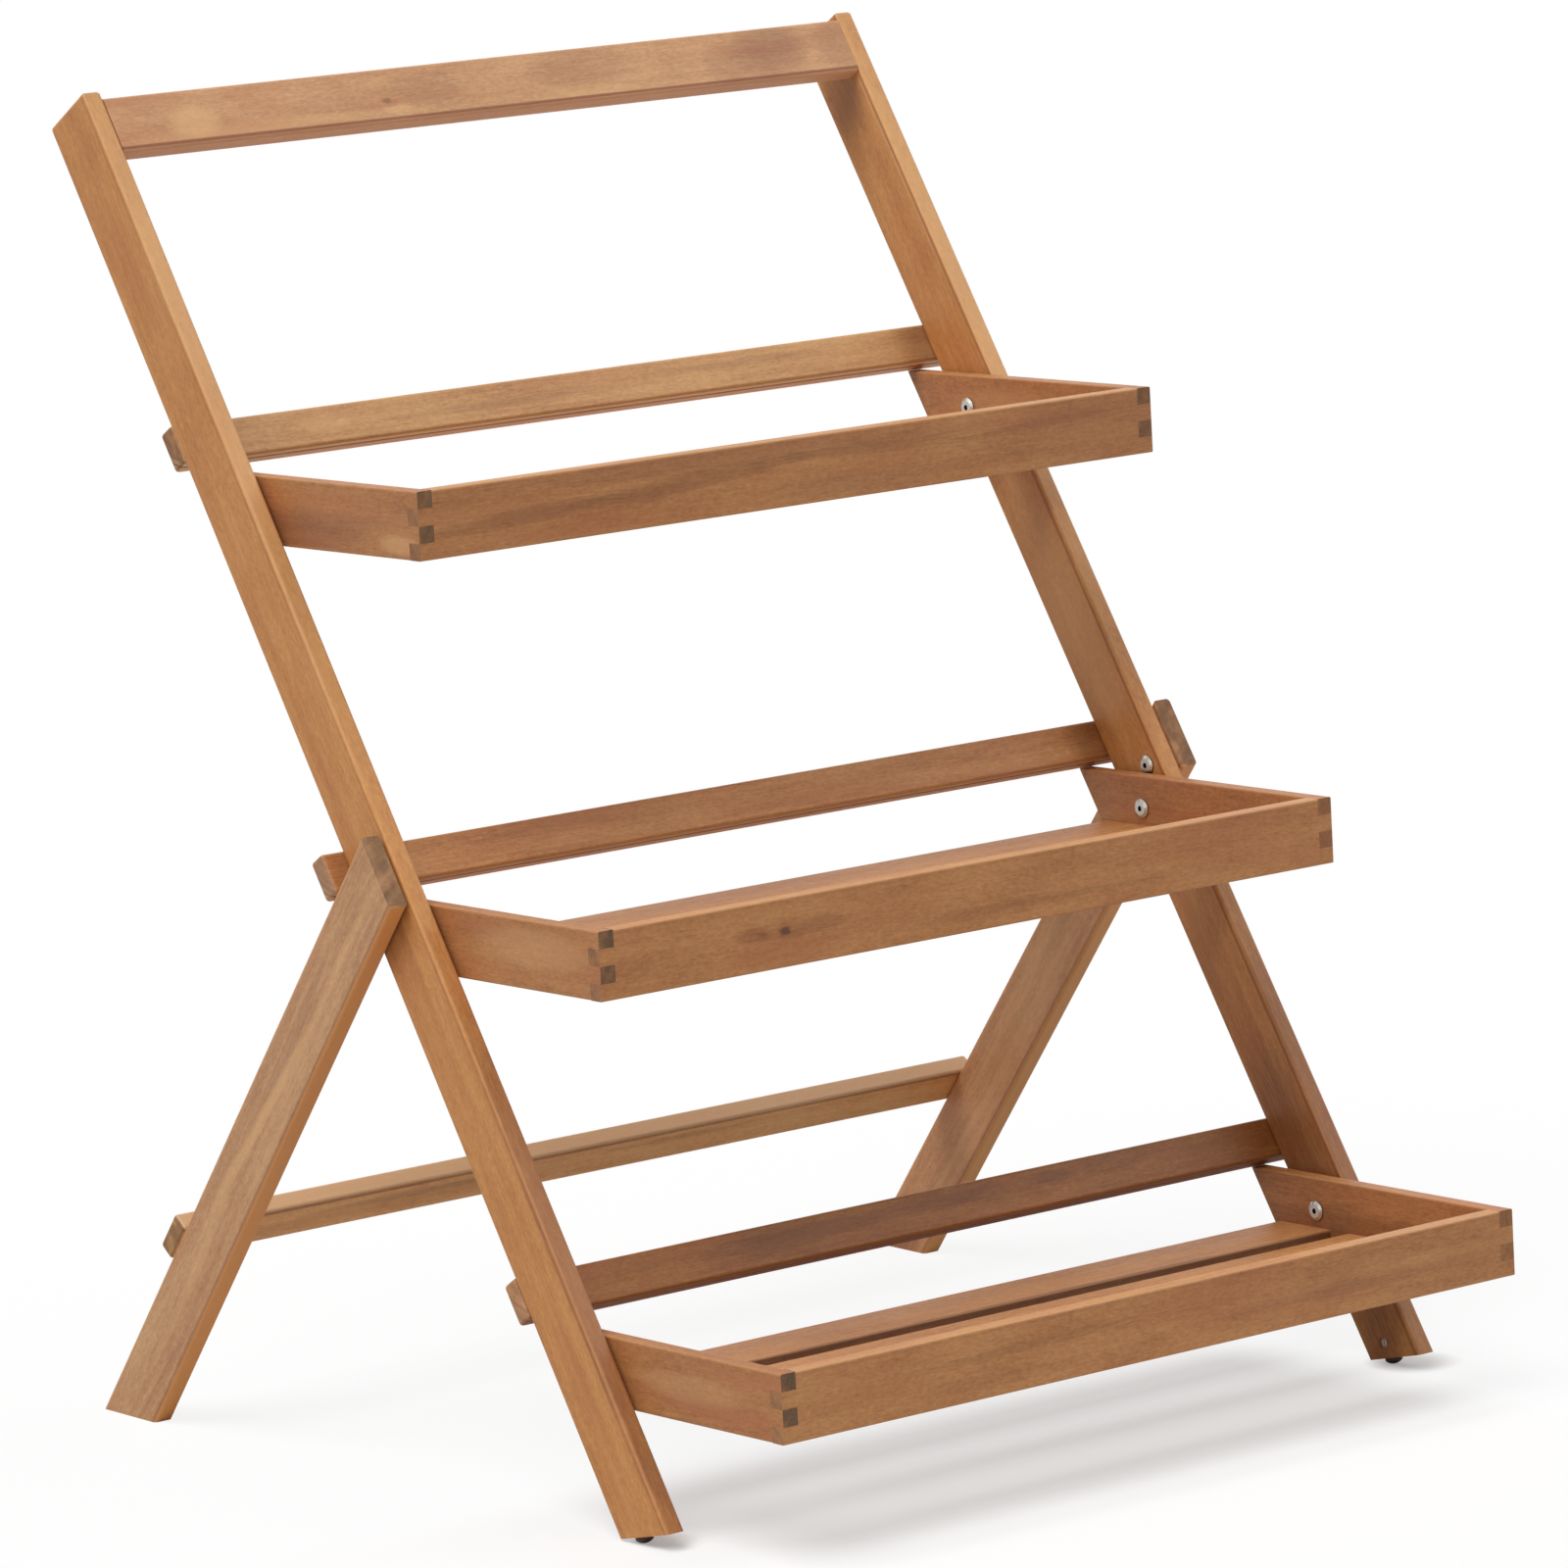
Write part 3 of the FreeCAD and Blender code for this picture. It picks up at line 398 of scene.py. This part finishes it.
# under each back rail's lower edge: painted light on the underside, a painted shade line across it and
# painted light beyond
backRailLook = vary(
    oiledWood, layer=5.0, seam=0.85, seamAt=-6.0, wrap=1, under=0.8, lip=0.75, lipTone=tone(232, 170, 124),
    layerDepth=0.5, endPale=tone(136, 92, 68), endDark=tone(104, 70, 52))
railTones = {  # each rail has its own tones, the bottom one's much darker; the band and underside tones are painted light
    "top": {"pale": tone(217, 170, 116), "honey": tone(197, 148, 96), "brown": tone(163, 112, 68),
            "redness": 0.2},
    "middle": {"endPale": tone(176, 140, 110), "endDark": tone(138, 106, 82),
               "underTone": tone(224, 180, 126)},
    "bottom": {"pale": tone(176, 119, 60), "honey": tone(152, 95, 42), "brown": tone(120, 69, 26),
               "redness": 0.2, "endPale": tone(206, 156, 114), "endDark": tone(164, 120, 86),
               "lipTone": tone(164, 98, 62), "underTone": tone(160, 118, 76)},
}
shadedEnd = mark(345, 0, 70, 70, 0.45, umbered)  # beside the right stile
railMarks = {
    "top": (mark(-230, 2, 60, 20, 0.3, light), mark(-60, -2, 260, 9, 0.25, dark),
            mark(160, 5, 220, 8, 0.2, dark), shadedEnd),
    "middle": (mark(-200, 6, 240, 8, 0.15, dark), mark(40, -4, 200, 10, 0.2, ruddy),
               mark(-362, -3, 50, 60, 0.5, dark), shadedEnd),
    "bottom": (mark(-110, 4, 200, 22, 0.4, umbered), mark(40, 6, 120, 16, 0.3, umbered),
               mark(130, 5, 60, 14, 0.35, umbered), mark(300, 0, 160, 40, 0.1, umbered)),
}

for number, side in enumerate(("left", "right")):
    oilBoard("stile_" + side, stileAxes, vary(
        stileLook, seed=firstSeed["stile"] + number, seam=stileSeams[side], marks=stileMarks[side]))
oilBoard("top_rail", railAxes, topRailLook)
for number, tier in enumerate(tiers):
    oilBoard("back_rail_" + tier, railAxes, vary(
        backRailLook, seed=firstSeed["backRail"] + number, marks=railMarks[tier], **railTones[tier]))
print("frame boards oiled")


# Propping legs

# a painted shade line beside each leg's front edge, painted light on the band along that edge
legLook = vary(
    oiledWood, pale=tone(214, 171, 124), honey=tone(194, 146, 103), brown=tone(160, 112, 77), redness=0.22,
    layer=8.0, pith=(-80, 40), layerDepth=0.6, seam=0.4, lip=0.85,
    endPale=tone(142, 106, 72), endDark=tone(98, 71, 46))
legTones = {  # the right leg's paler tones are painted light, as the trays shade it; the band tone is the painted light on the front edge
    "left": {"lipTone": tone(232, 156, 84)},
    "right": {"pale": tone(234, 180, 127), "honey": tone(213, 154, 106), "brown": tone(178, 119, 79),
              "lipTone": tone(234, 168, 102), "endPale": tone(130, 95, 64), "endDark": tone(90, 64, 42)},
}
legMarks = {
    "left": (mark(190, -6, 260, 10, 0.3, light), mark(120, 8, 300, 12, 0.25, dusky),
             mark(30, 3, 270, 13, 0.45, light, -0.05), mark(-120, 0, 260, 12, 0.25, light)),
    "right": (mark(120, 4, 200, 12, 0.2, dusky), mark(30, 0, 180, 60, 0.3, light),
              mark(-150, -8, 220, 10, 0.25, light), mark(-290, 6, 120, 60, 0.5, umbered)),
}
crossbarMarks = (mark(-160, 5, 260, 9, 0.3, umbered), mark(90, 6, 180, 7, 0.22, umbered))
for number, side in enumerate(("left", "right")):
    oilBoard("leg_" + side, legAxes, vary(
        legLook, seed=firstSeed["leg"] + number, marks=legMarks[side], **legTones[side]))
# the crossbar's pale tones are painted light, as the trays shade it; along its upper edge go a painted
# shade line and a band of painted shade on the top
oilBoard("leg_crossbar", crossbarAxes, vary(
    legLook, seed=45, pale=tone(250, 202, 140), honey=tone(236, 174, 110), brown=tone(207, 142, 84),
    seam=0.55, seamSide=1, lip=0.8, lipTone=tone(203, 165, 127), marks=crossbarMarks))
print("legs oiled")


# Trays

# a faint painted shade line and a band of painted highlight along each front board's top edge
frontLook = vary(
    oiledWood, pale=tone(210, 154, 97), honey=tone(190, 129, 75), brown=tone(156, 97, 53),
    redness=0.3, endDepth=0.7, seam=0.1, seamSide=1, lip=0.22, lipTone=tone(218, 170, 120))
frontMarks = {
    "top": (mark(-60, 18, 560, 18, 0.3, dusky), mark(-250, -3, 220, 13, 0.4, dark, 0.06),
            mark(-95, 5, 250, 17, 0.42, dark, 0.05), mark(60, 10, 220, 12, 0.34, dark),
            mark(225, 9, 230, 8, 0.24, dark, 0.03), mark(-190, -15, 260, 16, 0.25, ruddy),
            mark(250, 14, 240, 26, 0.25, ruddy), mark(290, 0, 300, 70, 0.24, dusky),
            mark(60, -14, 200, 22, 0.25, dusky)),
    "middle": (mark(-176, -13, 130, 26, 0.4, ruddy), mark(-150, 2, 74, 15, 0.38, russet, 0.02),
               mark(-203, 2, 50, 15, 0.38, russet), mark(-198, 1, 14, 9, 0.3, umbered),
               mark(60, -12, 260, 10, 0.2, dark)),
    "bottom": (mark(-120, 6, 260, 10, 0.25, dark), mark(150, -6, 240, 12, 0.22, dusky),
               mark(165, 4, 70, 40, 0.2, dusky), mark(300, 0, 340, 80, 0.15, dusky)),
}
frontKnots = {"top": (), "middle": ({"at": (-178, 1), "size": 5.2, "depth": 0.95},), "bottom": ()}
sideLook = vary(oiledWood, pale=tone(197, 140, 86), honey=tone(175, 117, 69), brown=tone(143, 87, 47),
                endDepth=1.0, endPale=tone(130, 98, 66), endDark=tone(86, 64, 44))
innerMarks = {"top": (mark(20, 4, 160, 30, 0.2, light),), "middle": (),
              "bottom": (mark(10, -10, 260, 40, 0.45, umbered),)}  # on the right boards
rightEnds = {"top": 0.8, "middle": 0.4, "bottom": 0.45}  # how dark the right boards' finger ends are
sideMarks = {
    "top": (mark(30, 12, 300, 20, 0.25, ruddy), mark(-15, -2, 240, 16, 0.3, dusky),
            mark(10, -13, 190, 26, 0.4, dusky), mark(-112, -16, 60, 16, 0.4, light)),
    "middle": (mark(0, 10, 240, 7, 0.12, dusky), mark(-60, 4, 160, 34, 0.25, light)),
    "bottom": (mark(0, -4, 240, 9, 0.12, dusky), mark(-30, 2, 150, 24, 0.22, light)),
}
slatLook = vary(
    oiledWood, pale=tone(208, 152, 98), honey=tone(187, 128, 76), brown=tone(153, 98, 54),
    layer=6.0, redness=0.1)
slatLip = {"stretch": 6, "height": 7.0, "depth": 0.8}  # painted shade on the front edge: half lengths, mm and share
slatsPerTray = 3

for number, tier in enumerate(tiers):
    tray = "tray_" + tier
    oilBoard(tray + "_front", frontAxes, vary(
        frontLook, seed=firstSeed["front"] + number, marks=frontMarks[tier], knots=frontKnots[tier]))
    oilBoard(tray + "_side_left", sideAxes, vary(
        sideLook, seed=firstSeed["leftSide"] + number, marks=sideMarks[tier]))
    oilBoard(tray + "_side_right", sideAxes, vary(
        sideLook, seed=firstSeed["rightSide"] + number, endDepth=rightEnds[tier], marks=innerMarks[tier]))
    for slat in range(1, slatsPerTray + 1):
        nodeName = f"{tray}_slat_{slat}"
        halves = measureBoard(nodeName, slatAxes)[1]
        # painted shade along the slat's front edge
        lipLength = slatLip["stretch"] * halves[0]
        lip = mark(0, -halves[1], lipLength, slatLip["height"], slatLip["depth"], umbered)
        slatSeed = firstSeed["slat"] + firstSeed["tray"] * number + slat
        oilBoard(nodeName, slatAxes, vary(slatLook, seed=slatSeed, marks=(lip,)))
    oilBoard(tray + "_slat_dowels", slatAxes, vary(oiledWood, seed=firstSeed["slatDowels"] + number))
oilBoard("top_rail_dowels", slatAxes, vary(oiledWood, seed=firstSeed["topDowels"]))
print("trays oiled")


# Metal and plastic

# recess is the share of painted shade in hollows
brightNickel = {"colour": tone(216, 214, 208), "dull": tone(154, 152, 146), "rough": 0.26, "recess": 1.0}
zincSteel = {"colour": tone(224, 222, 214), "dull": tone(172, 170, 162), "rough": 0.35, "recess": 0.1}
plating = {"cloudScale": 900, "grainScale": 4000, "clouds": (0.45, 0.8), "dullDepth": 0.5,
           "roughDepth": 0.15, "recessReach": 0.004, "recess": (0.85, 0.5), "recessTone": tone(24, 22, 20),
           "relief": 0.08, "reliefHeight": 0.0002}  # lengths in m, scales in turns per m


def plateMetal(name, look):
    finish = Finish(bpy.data.materials.new(name))
    place = finish.node("TexCoord", output="Object")
    cloud = finish.noise(finish.scaled(place, plating["cloudScale"]))
    grit = finish.noise(finish.scaled(place, plating["grainScale"]))
    # painted shade: ambient occlusion darkens hollows such as the hex sockets
    shade = finish.node("AmbientOcclusion", {"samples": 8}, {"Distance": plating["recessReach"]}, "AO")
    dull = finish.grade(cloud, *plating["clouds"]) * plating["dullDepth"]
    recess = finish.grade(shade, *plating["recess"]) * look["recess"]
    colour = finish.blend(dull, look["colour"], look["dull"])
    colour = finish.blend(recess, colour, plating["recessTone"])
    rough = cloud * plating["roughDepth"] + look["rough"]
    relief = finish.node("Bump", {}, {
        "Strength": plating["relief"], "Distance": plating["reliefHeight"], "Height": grit})
    shader = finish.node("BsdfPrincipled", {}, {
        "Base Color": colour, "Metallic": 1.0, "Roughness": rough, "Normal": relief})
    return finish.surface(shader)


nickel = plateMetal("bright_nickel", brightNickel)
zinc = plateMetal("zinc_steel", zincSteel)
for nodeName in ("tray_pivot_bolts", "leg_pivot_bolts"):
    wear(nodeName, nickel)
for nodeName in ("back_rail_screws", "crossbar_screws", "foot_barrel_nuts",
                 "tray_threaded_inserts", "leg_threaded_inserts"):
    wear(nodeName, zinc)

darkFoot = {"colour": tone(78, 48, 35), "scuffed": tone(104, 72, 54), "rough": 0.55}
milkyNylon = {"colour": tone(226, 214, 204), "scuffed": tone(196, 180, 168), "rough": 0.45}
moulding = {"scuffScale": 1200, "scuffs": (0.5, 0.75), "scuffDepth": 0.6, "roughDepth": 0.2,
            "relief": 0.1, "reliefHeight": 0.0002}  # lengths in m, scales in turns per m


def mouldPlastic(name, look):
    finish = Finish(bpy.data.materials.new(name))
    place = finish.node("TexCoord", output="Object")
    speckle = finish.noise(finish.scaled(place, moulding["scuffScale"]), 3.0, 0.6)
    scuffs = finish.grade(speckle, *moulding["scuffs"])
    colour = finish.blend(scuffs * moulding["scuffDepth"], look["colour"], look["scuffed"])
    rough = scuffs * moulding["roughDepth"] + look["rough"]
    relief = finish.node("Bump", {}, {
        "Strength": moulding["relief"], "Distance": moulding["reliefHeight"], "Height": scuffs})
    shader = finish.node("BsdfPrincipled", {}, {"Base Color": colour, "Roughness": rough, "Normal": relief})
    return finish.surface(shader)


wear("foot_glides", mouldPlastic("dark_foot", darkFoot))
nylon = mouldPlastic("milky_nylon", milkyNylon)
for nodeName in ("tray_spacers", "leg_spacers"):
    wear(nodeName, nylon)
print("metal and plastic done")


# Floor, light and camera

pureWhite = (1, 1, 1, 1)
floorLook = {
    "radius": 14.0, "sides": 96,  # lengths in m
    "seenColour": (0.93, 0.93, 0.925, 1.0),
    "bounceColour": (0.62, 0.61, 0.60, 1.0),
    "trayShadow": 0.45,  # share of the real shadow that shows under the lowest tray, and elsewhere
    "farShadow": 0.14,
    "nearY": -0.16, "farY": -0.06, "trayX": 0.27, "clearX": 0.355,  # where that tray's shadow fades
    "touch": 0.002,  # a glide's corners below this stand on the floor
    "footShadow": 0.7, "footNear": 0.01, "footFar": 0.05, "footDrift": (0.012, -0.008, 0)}
lightLook = {"fill": 0.2, "lamps": (
    {"name": "key", "from": (-0.45, -0.05, 0.88), "energy": 2.55, "spread": 40},
    {"name": "softbox", "from": (0.61, -0.475, 0.635), "energy": 0.7, "spread": 60})}
cameraLook = {"azimuth": -38.0024, "elevation": 9.3615, "roll": -2.6709,
              "eye": (-3.9046, -4.9859, 1.5104), "lens": 199.39, "sensor": 36.0, "reach": 100}


def seenBy(finish, rays):  # 1 for the named kinds of ray
    seen = finish.node("LightPath", output=rays[0])
    for ray in rays[1:]:
        seen = finish.larger(seen, finish.node("LightPath", output=ray))
    return seen


def glideSpots(touch):  # where the two glides, which never move, stand on the floor
    glides = nodes["foot_glides"]
    corners = [glides.matrix_world @ vertex.co for vertex in glides.data.vertices]
    spots = []
    for side in (-1, 1):
        low = [corner for corner in corners if corner.z < touch and corner.x * side > 0]
        spots.append(sum(low, Vector()) / len(low))
    return spots


def paleFloor(look):
    mesh = bpy.data.meshes.new("pale_floor")
    step = radians(360 / look["sides"])
    corners = range(look["sides"])
    rim = [(look["radius"] * cos(step * n), look["radius"] * sin(step * n), 0) for n in corners]
    mesh.from_pydata(rim, [], [tuple(corners)])
    floor = bpy.data.objects.new("pale_floor", mesh)
    bpy.context.scene.collection.objects.link(floor)
    finish = Finish(bpy.data.materials.new("pale_floor"))
    place = finish.node("TexCoord", output="Object")
    depth = finish.dot(place, (0, 1, 0))
    seen = seenBy(finish, ("Is Camera Ray",))
    besideTray = finish.grade(finish.dot(place, (1, 0, 0)), look["clearX"], look["trayX"])
    underTray = finish.grade(depth, look["farY"], look["nearY"]) * besideTray
    shadow = underTray * (look["trayShadow"] - look["farShadow"]) + look["farShadow"]
    for spot in glideSpots(look["touch"]):
        beside = spot + Vector(look["footDrift"])
        away = finish.node("VectorMath", {"operation": "DISTANCE"}, {0: place, 1: beside}, "Value")
        atFoot = finish.grade(away, look["footFar"], look["footNear"]) * look["footShadow"]
        shadow = finish.larger(shadow, atFoot)
    colour = finish.blend(seen, look["bounceColour"], look["seenColour"])
    matt = finish.node("BsdfDiffuse", {}, {"Color": colour})
    white = finish.node("Emission", {}, {"Color": pureWhite, "Strength": 1.0})
    share = 1 - seen * (1 - shadow)  # other rays meet the matt floor
    mesh.materials.append(finish.surface(finish.node("MixShader", {}, {0: share, 1: white, 2: matt})))


def studioLight(look):
    world = bpy.data.worlds.new("studio")
    bpy.context.scene.world = world
    finish = Finish(world)
    seen = seenBy(finish, ("Is Camera Ray", "Is Glossy Ray", "Is Transmission Ray"))
    strength = seen * (1 - look["fill"]) + look["fill"]
    sky = finish.node("Background", {}, {"Color": pureWhite, "Strength": strength})
    finish.node("OutputWorld", {}, {"Surface": sky})
    for lampLook in look["lamps"]:
        lamp = bpy.data.lights.new(lampLook["name"], "SUN")
        lamp.energy = lampLook["energy"]
        lamp.angle = radians(lampLook["spread"])
        holder = bpy.data.objects.new(lampLook["name"], lamp)
        holder.rotation_euler = Vector(lampLook["from"]).to_track_quat("Z", "Y").to_euler()
        bpy.context.scene.collection.objects.link(holder)


def photoCamera(look):
    az = radians(look["azimuth"])
    el = radians(look["elevation"])
    roll = radians(look["roll"])
    view = Vector((-sin(az) * cos(el), cos(az) * cos(el), -sin(el)))
    level = Vector((cos(az), sin(az), 0))
    upright = level.cross(view)
    right = level * cos(roll) + upright * sin(roll)
    top = upright * cos(roll) - level * sin(roll)
    camera = bpy.data.objects.new("camera", bpy.data.cameras.new("camera"))
    turn = Matrix((right, top, -view)).transposed().to_4x4()
    camera.matrix_world = Matrix.Translation(look["eye"]) @ turn
    camera.data.lens = look["lens"]
    camera.data.sensor_width = look["sensor"]
    camera.data.clip_end = look["reach"]
    bpy.context.scene.collection.objects.link(camera)
    bpy.context.scene.camera = camera


paleFloor(floorLook)
studioLight(lightLook)
photoCamera(cameraLook)
bpy.context.scene.view_settings.view_transform = "Standard"
print("floor, light and camera placed")
